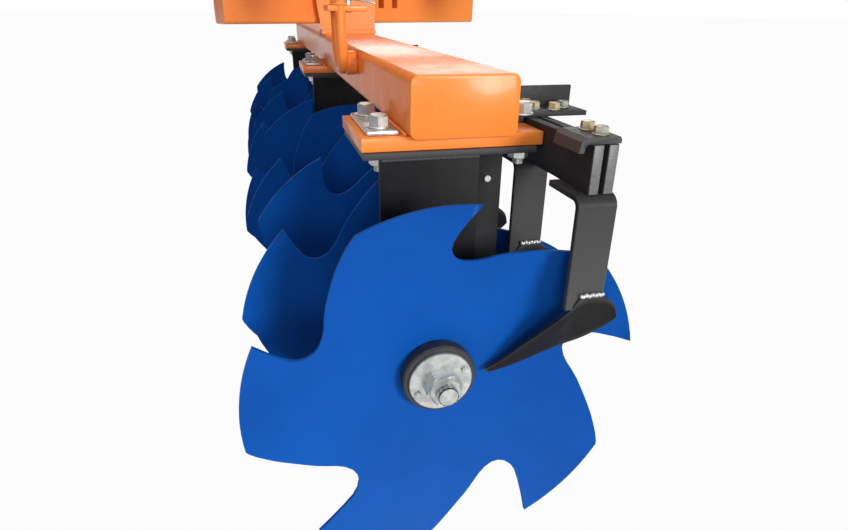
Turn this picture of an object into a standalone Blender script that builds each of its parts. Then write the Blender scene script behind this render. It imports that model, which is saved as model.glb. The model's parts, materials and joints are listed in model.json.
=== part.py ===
"""Mounted offset disc harrow: two angled gangs of five-notch dished discs under a tubular frame.

Metres, +Z up, +X the way it travels, +Y its left side.  Each gang is drawn in its own frame
(x trailing, y along the axle, z up from the underside of its beam) and then set under the frame.
"""
import math
import bmesh
import bpy
from mathutils import Matrix, Vector

NAME = "disc_harrow"

# ---- driving sizes ------------------------------------------------------------------------
GAP = 0.0003                # left between pieces that touch
DISC_R = 0.330              # disc radius
DISC_T = 0.006              # disc thickness
DISC_SPHERE = 0.707         # radius of the dish
DISC_SEAT = 0.058           # flat seat round the axle
DISC_PITCH = 0.2282         # disc spacing along the axle
DISC_COUNT = 12             # discs on each gang
DISC_STEPS = 20
NOTCH_R = 0.224             # radius of the notch bottom
NOTCHES = 5
AXLE_X = -0.049             # axle line, across the beam
AXLE_DROP = 0.3966          # axle line below the beam's underside
AXLE_CORE = 0.022           # axle radius inside the discs
SPOOL_R = 0.048             # spacer spool radius
SPOOL_FLANGE = 0.058        # spool end flange radius
FIRST_HUB = -0.0406         # first disc seat, from the beam's end face
COLLAR_R = 0.064            # thick end washer
COLLAR_T = 0.026
COLLAR_EASE = 0.003         # its back edge, eased to clear the dish
WASHER_R = 0.055            # plated end washer
WASHER_T = 0.007
STUD_R = 0.0175             # threaded axle end
STUD_L = 0.045
CAP_R = 0.036               # far end cap
CAP_T = 0.022
BEAM_W = 0.177
BEAM_H = 0.0965
BEAM_L = 2.536
BEAM_ROUND = 0.014
PLATE_X0 = -0.160
PLATE_X1 = 0.144
PLATE_L = 0.210
PLATE_T = 0.020
PLATE_RISE = 0.002          # weld seam of the plate up the beam
PLATE_Y = 0.127             # first hanger plate centre from the beam's end face
PLATE_STEP = 5              # discs from one hanger plate to the next
HANGERS = 3
POST_W = 0.165
POST_Y = 0.020              # front of the first post
POST_D = 0.062
TOP_T = 0.010
HOUSING_R = 0.074
RAIL_X = (0.147, 0.171)     # inner faces of the two scraper bars
RAIL_T = 0.017
RAIL_Z0 = -0.062
RAIL_H = 0.074
RAIL_Y0 = -0.131
ARM_X0 = 0.129
ARM_W = 0.064
ARM_T = 0.010
ARM_Y = -0.1415             # front face of the first scraper arm
ARM_LOW = -0.246            # lower end of the arms
BLADE_T = 0.008
BLADE_SEAT = 0.002          # blade let into the arm at its weld
BLADE_GAP = 0.010           # scraper blade to the disc
GANG_ANGLE = math.radians(20.0)
GANG_SPREAD = 1.900         # between the two gang pivots
PIVOT_Y = 1.335             # pivot along the gang from the beam's end face
PIVOT_R = 0.030
CARRIER_L = 0.970
CARRIER_AFT = 0.055         # carrier's middle behind its pivot
CARRIER_W = 0.090
SLOT_X = (0.127, 0.183)      # angle slots behind the pivot
SLOT_W = 0.022
SLOT_H = 0.050
SLOT_Z = 0.048
CARRIER_H = 0.120
CARRIER_LIFT = 0.031        # carrier above the beam
CLAMP_GAP = 0.060           # carrier's middle face to the clamp plate, room to swing
CROSS = 0.100               # cross tube, square
TUBE_ROUND = 0.010
CROSS_L = 1.160
CROSS_OUT = 0.330           # cross tubes either side of the pivot
SIDE_W = 0.100
SIDE_Y = 0.450              # side tube line from the middle
SIDE_L = 3.000
HEAD_X = 0.100
HEAD_L = 1.160
PIN_R = 0.014               # hitch pins, 28 mm
LOWER_SPAN = 0.825          # between the lower hitch brackets
LOWER_Z = 0.860             # lower hitch pins above the ground
MAST_H = 0.610              # top link pin above the lower pins
CHEEK_T = 0.015
CHEEK_GAP = 0.080

GROUND_Z = AXLE_DROP + DISC_R          # beam underside above the ground
BEAM_TOP = GROUND_Z + BEAM_H
CARRIER_Z = BEAM_TOP + CARRIER_LIFT
CROSS_Z = CARRIER_Z + CARRIER_H + GAP
SIDE_Z = CROSS_Z + CROSS + GAP
SIDE_TOP = SIDE_Z + SIDE_W
PLATE_PITCH = DISC_PITCH * PLATE_STEP
HEAD_FRONT = SIDE_L / 2 + GAP + HEAD_X

ORANGE = (0.90, 0.24, 0.02, 1)
BLUE = (0.005, 0.09, 0.42, 1)
BLACK = (0.03, 0.03, 0.034, 1)
ZINC = (0.60, 0.60, 0.56, 1)


# ---- start clean ----------------------------------------------------------------------------
for old in list(bpy.data.objects):
    bpy.data.objects.remove(old, do_unlink=True)
COL = bpy.data.collections.new(NAME)
bpy.context.scene.collection.children.link(COL)
CUT = bpy.data.collections.new("cutters")
bpy.context.scene.collection.children.link(CUT)
CUT.hide_render = True


# ---- helpers --------------------------------------------------------------------------------
def material(name, colour, rough, metal):
    """A plain Principled material of its own for one piece."""
    mat = bpy.data.materials.new(name)
    mat.use_nodes = True
    bsdf = mat.node_tree.nodes["Principled BSDF"]
    bsdf.inputs["Base Color"].default_value = colour
    bsdf.inputs["Roughness"].default_value = rough
    bsdf.inputs["Metallic"].default_value = metal
    return mat


def finish(obj, colour, rough=0.4, metal=0.0):
    """Give a piece its own material."""
    obj.data.materials.clear()
    obj.data.materials.append(material("mat_" + obj.name, colour, rough, metal))
    return obj


def from_bm(name, bm, col=COL):
    """Turn a bmesh into a named object."""
    bmesh.ops.remove_doubles(bm, verts=bm.verts, dist=0.00002)
    bmesh.ops.recalc_face_normals(bm, faces=bm.faces)
    mesh = bpy.data.meshes.new(name)
    bm.to_mesh(mesh)
    bm.free()
    obj = bpy.data.objects.new(name, mesh)
    col.objects.link(obj)
    if col is CUT:
        obj.display_type = "WIRE"
        obj.hide_render = True
    return obj


def box(name, x0, x1, y0, y1, z0, z1, col=COL):
    """A plain block between two corners."""
    bm = bmesh.new()
    bmesh.ops.create_cube(bm, size=1.0)
    for v in bm.verts:
        v.co.x = x0 if v.co.x < 0 else x1
        v.co.y = y0 if v.co.y < 0 else y1
        v.co.z = z0 if v.co.z < 0 else z1
    return from_bm(name, bm, col)


def prism(name, outline, axis, a, b, col=COL):
    """A flat outline pushed along one axis from a to b."""
    bm = bmesh.new()
    order = {"x": (2, 0, 1), "y": (0, 2, 1), "z": (0, 1, 2)}[axis]
    verts = []
    for u, v in outline:
        p = (u, v, a)
        verts.append(bm.verts.new((p[order[0]], p[order[1]], p[order[2]])))
    face = bm.faces.new(verts)
    out = bmesh.ops.extrude_face_region(bm, geom=[face])
    moved = [g for g in out["geom"] if isinstance(g, bmesh.types.BMVert)]
    step = [0.0, 0.0, 0.0]
    step["xyz".index(axis)] = b - a
    bmesh.ops.translate(bm, verts=moved, vec=step)
    return from_bm(name, bm, col)


def rod(name, start, end, radius, segments=16, col=COL):
    """A round bar between two points."""
    p = Vector(start)
    q = Vector(end)
    bm = bmesh.new()
    turn = (q - p).to_track_quat("Z", "Y").to_matrix().to_4x4()
    where = Matrix.Translation((p + q) / 2) @ turn
    bmesh.ops.create_cone(bm, cap_ends=True, segments=segments, radius1=radius,
                          radius2=radius, depth=(q - p).length, matrix=where)
    return from_bm(name, bm, col)


def apply_all(obj):
    """Bake the modifiers of a piece into its mesh."""
    dep = bpy.context.evaluated_depsgraph_get()
    dep.update()
    mesh = bpy.data.meshes.new_from_object(obj.evaluated_get(dep))
    obj.modifiers.clear()
    obj.data = mesh
    return obj


def boolean(obj, other, kind):
    """Join or cut one piece with another, then drop the tool."""
    mod = obj.modifiers.new("bool", "BOOLEAN")
    mod.operation = kind
    mod.solver = "EXACT"
    mod.object = other
    apply_all(obj)
    bpy.data.objects.remove(other, do_unlink=True)
    clean(obj)
    return obj


def clean(obj):
    """Merge the tiny edges a cut leaves."""
    bm = bmesh.new()
    bm.from_mesh(obj.data)
    bmesh.ops.remove_doubles(bm, verts=bm.verts, dist=0.00005)
    bmesh.ops.dissolve_degenerate(bm, edges=bm.edges, dist=0.00002)
    bm.to_mesh(obj.data)
    bm.free()


def bevel(obj, width, segments=2, angle=40):
    """Round the sharp edges of a piece."""
    mod = obj.modifiers.new("bevel", "BEVEL")
    mod.width = width
    mod.segments = segments
    mod.limit_method = "ANGLE"
    mod.angle_limit = math.radians(angle)
    return apply_all(obj)


def turned(name, profile, segments, col=COL):
    """A solid of revolution about y from (radius, y) points that start and end on the axis."""
    bm = bmesh.new()
    verts = [bm.verts.new((r, y, 0.0)) for r, y in profile]
    for v, w in zip(verts[:-1], verts[1:]):
        bm.edges.new((v, w))
    bmesh.ops.spin(bm, geom=list(bm.verts) + list(bm.edges), cent=(0, 0, 0), axis=(0, 1, 0),
                   angle=2 * math.pi, steps=segments, use_merge=True)
    return from_bm(name, bm, col)


def move(obj, matrix, mirrored=False):
    """Bake a placing matrix into the mesh."""
    obj.data.transform(matrix)
    if mirrored:
        obj.data.flip_normals()
    return obj


def dish(r):
    """How far the dish has come forward at radius r."""
    if r <= DISC_SEAT:
        return 0.0
    full = DISC_SPHERE - math.sqrt(DISC_SPHERE ** 2 - r * r)
    flat = DISC_SPHERE - math.sqrt(DISC_SPHERE ** 2 - DISC_SEAT ** 2)
    return full - flat


def hub_y(k):
    """Seat of disc k along the axle."""
    return FIRST_HUB + DISC_PITCH * k


# ---- one disc -------------------------------------------------------------------------------
def notch_outline():
    """One hooked notch in polar terms: steep side, round bottom and long heel, and out."""
    deep = NOTCH_R / DISC_R
    shape = [(-2.0, 1.30), (0.0, 1.0), (-5.4, deep + 0.113), (-3.4, deep + 0.025),
             (3.0, deep - 0.004), (13.1, deep + 0.062), (27.0, deep + 0.192), (38.5, 1.0),
             (41.0, 1.30)]
    return [(math.radians(a), DISC_R * r) for a, r in shape]


def disc(name, k, index):
    """Dished disc with five hooked notches, seated at disc place k and turned by its index."""
    rings = [AXLE_CORE + GAP, DISC_SEAT, 0.205, DISC_R]
    front = [(r, -dish(r)) for r in rings]
    back = [(r, -dish(r) + DISC_T) for r in rings]
    loop = front + back[::-1]
    bm = bmesh.new()
    verts = [bm.verts.new((r, y, 0.0)) for r, y in loop]
    for i in range(len(verts)):
        bm.edges.new((verts[i], verts[(i + 1) % len(verts)]))
    bmesh.ops.spin(bm, geom=list(bm.verts) + list(bm.edges), cent=(0, 0, 0), axis=(0, 1, 0),
                   angle=2 * math.pi, steps=DISC_STEPS, use_merge=True)
    obj = from_bm(name, bm)
    outline = notch_outline()
    for j in range(NOTCHES):
        turn = math.radians(2.3) + 2 * math.pi * j / NOTCHES
        pts = [(r * math.sin(a + turn), r * math.cos(a + turn)) for a, r in outline]
        boolean(obj, prism("cut", pts, "y", -0.2, 0.1, CUT), "DIFFERENCE")
    spin = Matrix.Rotation(math.radians(index - 2.3), 4, "Y")
    move(obj, Matrix.Translation((AXLE_X, hub_y(k), -AXLE_DROP)) @ spin)
    return finish(obj, BLUE, 0.35)


# ---- axle with its spools -------------------------------------------------------------------
def axle(name):
    """Square-section axle shown turned, with the spacer spools, end washers and nut seats."""
    end0 = hub_y(0) - GAP
    end1 = end0 - COLLAR_T
    end2 = end1 - WASHER_T
    end3 = end2 - STUD_L
    pts = [(0.0, end3), (STUD_R, end3), (STUD_R, end2), (WASHER_R, end2), (WASHER_R, end1),
           (COLLAR_R, end1), (COLLAR_R, end0 - COLLAR_EASE), (SPOOL_FLANGE, end0)]
    for k in range(DISC_COUNT):
        y = hub_y(k)
        pts.append((AXLE_CORE, y - GAP))
        pts.append((AXLE_CORE, y + DISC_T + GAP))
        if k == DISC_COUNT - 1:
            break
        nxt = hub_y(k + 1) - GAP
        pts.append((SPOOL_FLANGE, y + DISC_T + GAP))
        pts.append((SPOOL_R, y + DISC_T + GAP + 0.014))
        pts.append((SPOOL_R, nxt - 0.014))
        pts.append((SPOOL_FLANGE, nxt))
    last = hub_y(DISC_COUNT - 1) + DISC_T + GAP
    pts += [(COLLAR_R, last), (COLLAR_R, last + CAP_T), (CAP_R, last + CAP_T),
            (CAP_R, last + 2 * CAP_T), (0.0, last + 2 * CAP_T)]
    obj = turned(name, pts, 12)
    move(obj, Matrix.Translation((AXLE_X, 0, -AXLE_DROP)))
    return finish(obj, ZINC, 0.45, 0.8)


# ---- gang beam with its welded hanger plates ------------------------------------------------
def beam(name):
    """Rounded beam, its three hanger plates and the pivot pad welded on."""
    obj = box(name, -BEAM_W / 2, BEAM_W / 2, 0, BEAM_L, 0, BEAM_H)
    bevel(obj, BEAM_ROUND, 3)
    for k in range(HANGERS):
        y = PLATE_Y + PLATE_PITCH * k
        plate = box("tool", PLATE_X0, PLATE_X1, y - PLATE_L / 2, y + PLATE_L / 2,
                    -PLATE_T, PLATE_RISE, CUT)
        boolean(obj, plate, "UNION")
    pad = rod("tool", (0, PIVOT_Y, BEAM_H - 0.004), (0, PIVOT_Y, BEAM_H + CARRIER_LIFT - 0.0005),
              0.080, 20, CUT)
    boolean(obj, pad, "UNION")
    return finish(obj, ORANGE, 0.35)


def pivot_pin(name):
    """Pivot pin standing on the pad and running up inside the carrier."""
    low = BEAM_H + CARRIER_LIFT - 0.0005 + GAP
    obj = rod(name, (0, PIVOT_Y, low), (0, PIVOT_Y, low + CARRIER_H * 0.78), PIVOT_R, 20)
    return finish(obj, ZINC, 0.4, 0.8)


def bracket(name):
    """Clamp plate standing on the beam in front of the carrier, with its foot."""
    y1 = PIVOT_Y - CARRIER_W / 2 - CLAMP_GAP
    z0 = BEAM_H + GAP
    top = BEAM_H + CARRIER_LIFT + CARRIER_H - 0.010
    side = [(-0.088, z0), (0.088, z0), (0.088, z0 + 0.03), (0.092, top), (-0.108, top),
            (-0.092, z0 + 0.03)]
    obj = prism(name, side, "y", y1 - 0.012, y1)
    foot = box("tool", -0.088, 0.088, y1 - 0.030, y1 + 0.002, z0, z0 + 0.012, CUT)
    boolean(obj, foot, "UNION")
    return finish(obj, ORANGE, 0.35)


def standard(name, k):
    """Hanger standard: bolted top plate, boxed post and the axle bearing housing."""
    y = PLATE_Y + PLATE_PITCH * k
    off = PLATE_PITCH * k
    z1 = -PLATE_T - GAP
    obj = box(name, PLATE_X0 + 0.002, PLATE_X1 - 0.014, y - PLATE_L / 2 - 0.008,
              y + PLATE_L / 2 - 0.010, z1 - TOP_T, z1)
    x0 = AXLE_X - POST_W / 2
    x1 = AXLE_X + POST_W / 2
    y0 = POST_Y + off
    y1 = y0 + POST_D
    face = box("tool", x0, x1, y0, y0 + 0.012, -AXLE_DROP + 0.02, z1 - TOP_T + 0.002, CUT)
    boolean(obj, face, "UNION")
    for xa in (x0 + 0.010, x1 - 0.022):
        web = box("tool", xa, xa + 0.012, y0 + 0.010, y1, -AXLE_DROP + 0.02,
                  z1 - TOP_T + 0.002, CUT)
        boolean(obj, web, "UNION")
    strip = box("tool", x1 - 0.008, x1 + 0.046, y0 + 0.014, y0 + 0.026, -AXLE_DROP + 0.12,
                z1 - TOP_T + 0.002, CUT)
    boolean(obj, strip, "UNION")
    house = rod("tool", (AXLE_X, y0 - 0.001, -AXLE_DROP), (AXLE_X, y1 + 0.008, -AXLE_DROP),
                HOUSING_R, 20, CUT)
    boolean(obj, house, "UNION")
    bore = rod("tool", (AXLE_X, y0 - 0.1, -AXLE_DROP), (AXLE_X, y1 + 0.1, -AXLE_DROP),
               SPOOL_R + 0.0008, 24, CUT)
    boolean(obj, bore, "DIFFERENCE")
    return finish(obj, BLACK, 0.5, 0.2)


# ---- scrapers -------------------------------------------------------------------------------
def blade(off):
    """Curved leaf blade following the hollow of its disc."""
    upper = [(0.219, -0.261), (0.206, -0.237), (0.188, -0.223), (0.150, -0.224), (0.120, -0.282),
             (0.064, -0.368), (0.036, -0.394)]
    lower = [(0.217, -0.271), (0.190, -0.300), (0.166, -0.323), (0.140, -0.346), (0.110, -0.371),
             (0.074, -0.389), (0.040, -0.402)]
    lean_up = [1.0, 1.0, 1.0, 1.0, 0.6, 0.1, 0.0]
    lean_low = [0.9, 0.6, 0.35, 0.15, 0.05, 0.0, 0.0]
    bm = bmesh.new()
    rows = []
    for u, v, wu, wl in zip(upper, lower, lean_up, lean_low):
        row = []
        for (x, z), w in ((u, wu), (v, wl)):
            r = math.hypot(x - AXLE_X, z + AXLE_DROP)
            near = FIRST_HUB - dish(min(r, DISC_R)) - BLADE_GAP
            y = min(near, w * (ARM_Y + BLADE_SEAT) + (1 - w) * near) + off
            row.append(bm.verts.new((x, y, z)))
            row.append(bm.verts.new((x, y - BLADE_T, z)))
        rows.append(row)
    for a, b in zip(rows[:-1], rows[1:]):
        bm.faces.new((a[0], a[2], b[2], b[0]))
        bm.faces.new((a[1], b[1], b[3], a[3]))
        bm.faces.new((a[0], b[0], b[1], a[1]))
        bm.faces.new((a[2], a[3], b[3], b[2]))
    bm.faces.new((rows[0][0], rows[0][1], rows[0][3], rows[0][2]))
    bm.faces.new((rows[-1][0], rows[-1][2], rows[-1][3], rows[-1][1]))
    bmesh.ops.triangulate(bm, faces=bm.faces)
    return from_bm("tool", bm, CUT)


def scrapers(name):
    """Twin scraper bars on their angle brackets with an arm and a blade for every disc."""
    y1 = BEAM_L + 0.020
    obj = box(name, RAIL_X[0], RAIL_X[0] + RAIL_T, RAIL_Y0, y1, RAIL_Z0, RAIL_Z0 + RAIL_H)
    outer = box("tool", RAIL_X[1], RAIL_X[1] + RAIL_T, RAIL_Y0, y1, RAIL_Z0,
                RAIL_Z0 + RAIL_H, CUT)
    for k in range(HANGERS):
        y = PLATE_Y + PLATE_PITCH * k - 0.030
        top = RAIL_Z0 + RAIL_H
        leg = box("tool", BEAM_W / 2 + 0.006, 0.262, y, y + 0.075, top - 0.001, top + 0.008, CUT)
        flange = box("tool", BEAM_W / 2 + 0.006, 0.262, y + 0.067, y + 0.075, top - 0.001,
                     top + 0.044, CUT)
        boolean(leg, flange, "UNION")
        foot = box("tool", BEAM_W / 2 + 0.006, PLATE_X1 - 0.003, y, y + 0.070,
                   PLATE_RISE + GAP, top + 0.002, CUT)
        boolean(leg, foot, "UNION")
        boolean(obj, leg, "UNION")
    boolean(obj, outer, "UNION")
    for k in range(DISC_COUNT):
        off = DISC_PITCH * k
        ya = ARM_Y + off
        zf = RAIL_Z0 + 0.001
        foot_y = 0.098
        arc = [(ya + 0.016 - 0.016 * math.cos(t), zf - 0.016 + 0.016 * math.sin(t))
               for t in (0.0, math.pi / 4, math.pi / 2)]
        inner = [(ya + 0.016 - 0.006 * math.cos(t), zf - 0.016 + 0.006 * math.sin(t))
                 for t in (math.pi / 2, 0.0)]
        side = [(ya, ARM_LOW)] + arc + [(ya + foot_y, zf), (ya + foot_y, zf - ARM_T)] + inner
        side = side + [(ya + ARM_T, ARM_LOW)]
        arm = prism("tool", side, "x", ARM_X0, ARM_X0 + ARM_W, CUT)
        boolean(arm, blade(off), "UNION")
        boolean(obj, arm, "UNION")
    return finish(obj, BLACK, 0.5, 0.2)


# ---- hooked rod ------------------------------------------------------------------------------
def hook_rod(name):
    """Bent round bar hanging beside the beam from its lug, as the gang's lifting eye."""
    path = [(-0.124, 0.472, 0.205), (-0.124, 0.472, 0.110), (-0.122, 0.478, 0.078),
            (-0.120, 0.500, 0.064), (-0.122, 0.524, 0.078), (-0.126, 0.532, 0.110),
            (-0.126, 0.532, 0.205)]
    curve = bpy.data.curves.new(name, "CURVE")
    curve.dimensions = "3D"
    curve.bevel_depth = 0.0118
    curve.bevel_resolution = 1
    curve.use_fill_caps = True
    spline = curve.splines.new("POLY")
    spline.points.add(len(path) - 1)
    for point, p in zip(spline.points, path):
        point.co = (p[0], p[1], p[2], 1.0)
    tmp = bpy.data.objects.new("tmp_curve", curve)
    COL.objects.link(tmp)
    dep = bpy.context.evaluated_depsgraph_get()
    dep.update()
    mesh = bpy.data.meshes.new_from_object(tmp.evaluated_get(dep))
    bpy.data.objects.remove(tmp, do_unlink=True)
    obj = bpy.data.objects.new(name, mesh)
    COL.objects.link(obj)
    clean(obj)
    lug = box("tool", -0.152, -0.066, 0.462, 0.545, 0.174, 0.187, CUT)
    boolean(obj, lug, "UNION")
    boss = rod("tool", (-0.116, 0.498, 0.070), (-BEAM_W / 2 - GAP, 0.498, 0.070), 0.025, 16, CUT)
    boolean(obj, boss, "UNION")
    return finish(obj, ORANGE, 0.35)


# ---- placing a gang ---------------------------------------------------------------------------
def placing(front):
    """Matrix that sets a gang's own frame under the machine, and whether it mirrors."""
    c = math.cos(GANG_ANGLE)
    s = math.sin(GANG_ANGLE)
    x = GANG_SPREAD / 2 if front else -GANG_SPREAD / 2
    hand = -1.0 if front else 1.0
    rot = Matrix(((-c, -s, 0, 0), (hand * s, -hand * c, 0, 0), (0, 0, 1, 0), (0, 0, 0, 1)))
    return Matrix.Translation((x, 0, GROUND_Z)) @ rot @ Matrix.Translation((0, -PIVOT_Y, 0))


def empty(name, location, size=0.1):
    """A marker on a joint axis."""
    obj = bpy.data.objects.new(name, None)
    obj.empty_display_size = size
    obj.location = location
    COL.objects.link(obj)
    return obj


def hang(obj, parent):
    """Parent a piece to its joint marker and leave it where it is."""
    bpy.context.view_layer.update()
    obj.parent = parent
    obj.matrix_parent_inverse = parent.matrix_world.inverted()
    return obj


def gang(front):
    """Everything that turns with one gang."""
    tag = "front" if front else "rear"
    where = placing(front)
    pivot = empty(tag + "_gang_pivot", where @ Vector((0, PIVOT_Y, 0)))
    wheel = empty(tag + "_axle_line", where @ Vector((AXLE_X, PIVOT_Y, -AXLE_DROP)))
    bpy.context.view_layer.update()
    hang(wheel, pivot)
    fixed = [beam(tag + "_gang_beam"), pivot_pin(tag + "_pivot_pin"),
             bracket(tag + "_clamp_plate"), scrapers(tag + "_scraper_set"),
             hook_rod(tag + "_hook_rod")]
    for k in range(HANGERS):
        fixed.append(standard(tag + "_standard_" + str(k + 1), k))
    spin = [axle(tag + "_axle_spools")]
    indexes = [7.0, 26.2, 46.0, 30.0, 12.0, 55.0, 22.0, 40.0, 64.0, 15.0, 33.0, 50.0]
    for k in range(DISC_COUNT):
        number = str(k + 1).zfill(2)
        spin.append(disc(tag + "_disc_" + number, k, indexes[k]))
    for obj in fixed:
        move(obj, where, front)
        hang(obj, pivot)
    for obj in spin:
        move(obj, where, front)
        hang(obj, wheel)


# ---- main frame --------------------------------------------------------------------------------
def carrier(name, x):
    """Fore-and-aft carrier over a gang, with angle slots and the pivot bore."""
    middle = x - CARRIER_AFT
    obj = tube_length(name, middle - CARRIER_L / 2, middle + CARRIER_L / 2, -CARRIER_W / 2,
                      CARRIER_W / 2, CARRIER_Z, CARRIER_Z + CARRIER_H)
    bore = rod("tool", (x, 0, CARRIER_Z - 0.05), (x, 0, CARRIER_Z + CARRIER_H * 0.85),
               PIVOT_R + 0.0008, 20, CUT)
    boolean(obj, bore, "DIFFERENCE")
    for dx in SLOT_X:
        slot = box("tool", x - dx - SLOT_W / 2, x - dx + SLOT_W / 2, -CARRIER_W, CARRIER_W,
                   CARRIER_Z + SLOT_Z, CARRIER_Z + SLOT_Z + SLOT_H, CUT)
        boolean(obj, slot, "DIFFERENCE")
    return finish(obj, ORANGE, 0.35)


def tube_length(name, x0, x1, y0, y1, z0, z1):
    """A length of tube with its long edges rounded and its ends cut square."""
    lengthwise = x1 - x0 > y1 - y0
    a0, a1 = (y0, y1) if lengthwise else (x0, x1)
    outline = []
    for a, z, sa, sz, start in ((a1, z1, -1, -1, 0), (a0, z1, 1, -1, 90), (a0, z0, 1, 1, 180),
                                (a1, z0, -1, 1, 270)):
        for turn in (0, 30, 60, 90):
            t = math.radians(start + turn)
            outline.append((a + TUBE_ROUND * (sa + math.cos(t)), z + TUBE_ROUND * (sz + math.sin(t))))
    if lengthwise:
        return prism(name, outline, "x", x0, x1)
    return prism(name, outline, "y", y0, y1)


def tube(name, x0, x1, y0, y1, z0, z1):
    """A painted frame member."""
    return finish(tube_length(name, x0, x1, y0, y1, z0, z1), ORANGE, 0.35)


def frame():
    """Side tubes, cross tubes, carriers and the head beam."""
    for x, tag in ((GANG_SPREAD / 2, "front"), (-GANG_SPREAD / 2, "rear")):
        carrier(tag + "_carrier", x)
        for s, end in ((1, "fore"), (-1, "aft")):
            xc = x + s * CROSS_OUT
            tube(tag + "_cross_tube_" + end, xc - CROSS / 2, xc + CROSS / 2, -CROSS_L / 2,
                 CROSS_L / 2, CROSS_Z, CROSS_Z + CROSS)
    for s, side in ((1, "left"), (-1, "right")):
        tube("side_tube_" + side, -SIDE_L / 2, SIDE_L / 2, s * SIDE_Y - SIDE_W / 2,
             s * SIDE_Y + SIDE_W / 2, SIDE_Z, SIDE_TOP)
    tube("head_beam", SIDE_L / 2 + GAP, HEAD_FRONT, -HEAD_L / 2, HEAD_L / 2, SIDE_Z, SIDE_TOP)


def mast():
    """Two mast cheeks with the top link pin."""
    z0 = SIDE_TOP + GAP
    foot = CROSS_Z + CROSS + GAP
    rear = GANG_SPREAD / 2 + CROSS_OUT
    top = LOWER_Z + MAST_H
    pin_x = HEAD_FRONT - 0.020
    outline = [(HEAD_FRONT + 0.02, z0), (HEAD_FRONT + 0.02, top + 0.030), (pin_x - 0.030, top + 0.045),
               (rear - 0.045, z0 + 0.080), (rear - 0.045, foot), (rear + 0.045, foot),
               (rear + 0.045, z0 - 0.020), (rear + 0.090, z0 + 0.050), (HEAD_FRONT - 0.14, z0 + 0.050),
               (HEAD_FRONT - 0.11, z0)]
    for s, side in ((1, "left"), (-1, "right")):
        ya = s * CHEEK_GAP / 2
        obj = prism("mast_cheek_" + side, outline, "y", ya, ya + s * CHEEK_T)
        hole = rod("tool", (pin_x, -0.2, top), (pin_x, 0.2, top), PIN_R + GAP, 20, CUT)
        boolean(obj, hole, "DIFFERENCE")
        finish(obj, ORANGE, 0.35)
    reach = CHEEK_GAP / 2 + CHEEK_T + 0.016
    pin = rod("top_link_pin", (pin_x, -reach, top), (pin_x, reach, top), PIN_R, 20)
    finish(pin, ZINC, 0.4, 0.8)


def lower_hitch():
    """Lower hitch brackets in front of the head beam with their pins."""
    x0 = HEAD_FRONT + GAP
    pin_x = x0 + 0.075
    for s, side in ((1, "left"), (-1, "right")):
        yin = s * LOWER_SPAN / 2
        yout = yin + s * 0.090
        obj = box("lower_bracket_" + side, x0, x0 + 0.014, min(yin, yout), max(yin, yout),
                  LOWER_Z - 0.070, SIDE_TOP)
        for ya in (yin, yout - s * CHEEK_T):
            yb = ya + s * CHEEK_T
            cheek = [(x0 + 0.002, SIDE_TOP), (x0 + 0.050, SIDE_TOP - 0.02), (x0 + 0.060, LOWER_Z + 0.10),
                     (x0 + 0.120, LOWER_Z + 0.035), (x0 + 0.120, LOWER_Z - 0.045),
                     (x0 + 0.002, LOWER_Z - 0.070)]
            boolean(obj, prism("tool", cheek, "y", min(ya, yb), max(ya, yb), CUT), "UNION")
        hole = rod("tool", (pin_x, yin - s * 0.1, LOWER_Z), (pin_x, yout + s * 0.1, LOWER_Z),
                   PIN_R + GAP, 20, CUT)
        boolean(obj, hole, "DIFFERENCE")
        finish(obj, ORANGE, 0.35)
        pin = rod("lower_pin_" + side, (pin_x, yin - s * 0.016, LOWER_Z),
                  (pin_x, yout + s * 0.016, LOWER_Z), PIN_R, 20)
        finish(pin, ZINC, 0.4, 0.8)


gang(False)
gang(True)
frame()
mast()
lower_hitch()
bpy.context.view_layer.update()
across = [(o.matrix_world @ v.co).x for o in COL.objects if o.type == "MESH" for v in o.data.vertices]
shift = -(min(across) + max(across)) / 2
for top in COL.objects:
    if top.parent is None:
        top.location.x += shift
bpy.context.view_layer.update()
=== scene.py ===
"""Visual model of the offset disc harrow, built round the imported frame."""
import bmesh
import bpy
import json
import math
from mathutils import Matrix, Vector

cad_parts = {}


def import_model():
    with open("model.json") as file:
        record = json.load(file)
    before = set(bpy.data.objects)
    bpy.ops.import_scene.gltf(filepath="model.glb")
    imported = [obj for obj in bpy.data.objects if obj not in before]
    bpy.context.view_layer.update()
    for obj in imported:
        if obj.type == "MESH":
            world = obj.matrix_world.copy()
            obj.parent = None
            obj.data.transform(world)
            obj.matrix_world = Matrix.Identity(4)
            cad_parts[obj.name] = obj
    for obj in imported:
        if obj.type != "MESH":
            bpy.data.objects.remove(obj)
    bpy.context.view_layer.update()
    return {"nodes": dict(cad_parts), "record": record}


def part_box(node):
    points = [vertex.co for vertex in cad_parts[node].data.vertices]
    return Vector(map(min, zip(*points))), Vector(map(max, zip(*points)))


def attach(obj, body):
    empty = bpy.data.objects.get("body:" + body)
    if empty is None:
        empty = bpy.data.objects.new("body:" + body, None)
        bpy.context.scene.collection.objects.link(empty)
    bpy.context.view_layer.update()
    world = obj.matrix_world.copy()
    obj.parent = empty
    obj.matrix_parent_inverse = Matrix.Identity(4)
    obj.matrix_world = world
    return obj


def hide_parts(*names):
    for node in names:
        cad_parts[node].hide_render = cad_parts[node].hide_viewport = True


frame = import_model()

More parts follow.
